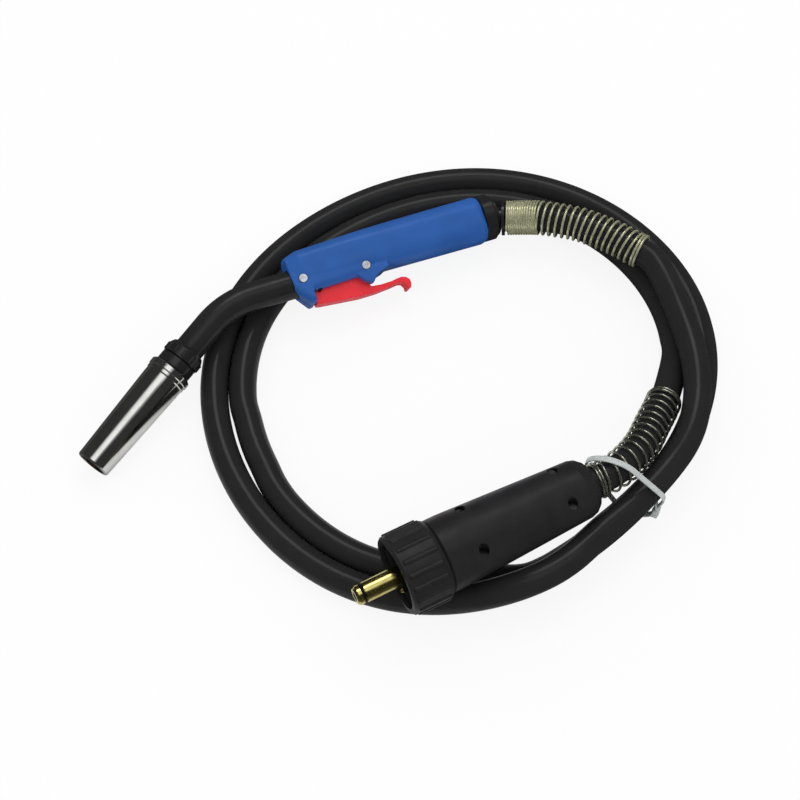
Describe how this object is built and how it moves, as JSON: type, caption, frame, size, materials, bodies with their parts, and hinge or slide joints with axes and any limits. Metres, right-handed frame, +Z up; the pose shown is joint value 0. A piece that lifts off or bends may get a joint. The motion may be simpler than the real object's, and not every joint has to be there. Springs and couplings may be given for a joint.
{
  "type": "mig welding torch",
  "caption": "Wire-feed welding torch: blue handle with red trigger, bent neck and gas nozzle, coiled black cable with spring guards and a ribbed machine plug.",
  "frame": {"origin": "middle of the handpiece's footprint, on the table that the coil lies on", "axes": "+Z up from the table; +X runs along the machine plug from its pin to its cable, and roughly from the nozzle to the rear of the handle; +Y away from the plug, across the coil"},
  "size_m": [0.4342, 0.3338, 0.0726],
  "materials": {
    "handle_blue": "satin blue moulding",
    "trigger_red": "glossy red moulding",
    "black_plastic": "black moulding",
    "cable_black": "smooth black jacket",
    "neck_black": "black insulating sleeve",
    "nozzle_chrome": "polished",
    "brass": "turned",
    "copper": "turned copper alloy",
    "steel": "zinc plated",
    "spring_steel": "bright drawn wire",
    "nylon_tie": "pale nylon",
    "switch_grey": "moulded",
    "plunger_white": "moulded",
    "lead_red": "wire insulation",
    "seal_black": "rubber"
  },
  "bodies": {
    "cable_set": {"cable_support": "black_plastic", "front_guard": "spring_steel", "cable_lead": "cable_black", "cable_coil": "cable_black", "cable_tail": "cable_black", "rear_guard": "spring_steel", "plug_gland": "black_plastic", "plug_housing_top": "black_plastic", "plug_housing_bottom": "black_plastic", "housing_screws": "steel", "plug_insulator": "black_plastic", "centre_pin": "brass", "pin_seal": "seal_black", "cable_tie": "nylon_tie"},
    "handpiece": {"handle_left": "handle_blue", "handle_right": "handle_blue", "handle_screws": "steel", "swivel_collar": "black_plastic", "trigger_pin": "steel", "switch_body": "switch_grey", "switch_leads": "lead_red", "neck_sleeve": "neck_black", "neck_tube": "brass", "neck_nut": "black_plastic", "power_block": "brass", "inner_cable": "cable_black", "nozzle_insulator": "black_plastic", "gas_diffuser": "brass", "tip_holder": "brass", "contact_tip": "copper"},
    "trigger": {"trigger": "trigger_red"},
    "plunger": {"switch_plunger": "plunger_white"},
    "nozzle": {"gas_nozzle": "nozzle_chrome"},
    "lock_nut": {"lock_nut": "black_plastic"},
    "contact_left": {"contact_pin_left": "brass"},
    "contact_right": {"contact_pin_right": "brass"}
  },
  "joints": [
    {"name": "handle_swivel", "type": "hinge", "parent": "cable_set", "child": "handpiece", "pos_m": [0.15899, 0.01593, 0.02235], "axis": [-0.8584, 0.5056, -0.0872], "range_deg": [0, 75]},
    {"name": "trigger_pivot", "type": "hinge", "parent": "handpiece", "child": "trigger", "pos_m": [0.02554, 0.0123, 0.02551], "axis": [0.0325, -0.3999, 0.916], "range_deg": [0, 4], "stiffness_Nm_per_rad": 2, "springref_deg": -4.01},
    {"name": "plunger_slide", "type": "slide", "parent": "handpiece", "child": "plunger", "axis": [0.1089, 0.9124, 0.3945], "range_m": [0, 0.0019]},
    {"name": "nozzle_pull", "type": "slide", "parent": "handpiece", "child": "nozzle", "axis": [-0.8926, -0.424, -0.1534], "range_m": [0, 0.024]},
    {"name": "nut_turn", "type": "hinge", "parent": "cable_set", "child": "lock_nut", "pos_m": [-0.0152, -0.21, 0.046], "axis": [1, 0, 0], "continuous": true},
    {"name": "contact_left_press", "type": "slide", "parent": "cable_set", "child": "contact_left", "axis": [1, 0, 0], "range_m": [0, 0.003], "stiffness_N_per_m": 300, "springref_m": -0.003},
    {"name": "contact_right_press", "type": "slide", "parent": "cable_set", "child": "contact_right", "axis": [1, 0, 0], "range_m": [0, 0.003], "stiffness_N_per_m": 300, "springref_m": -0.003}
  ],
  "couplings": [
    {"joint": "plunger_slide", "follows": "trigger_pivot", "m_per_rad": 0.0261}
  ]
}
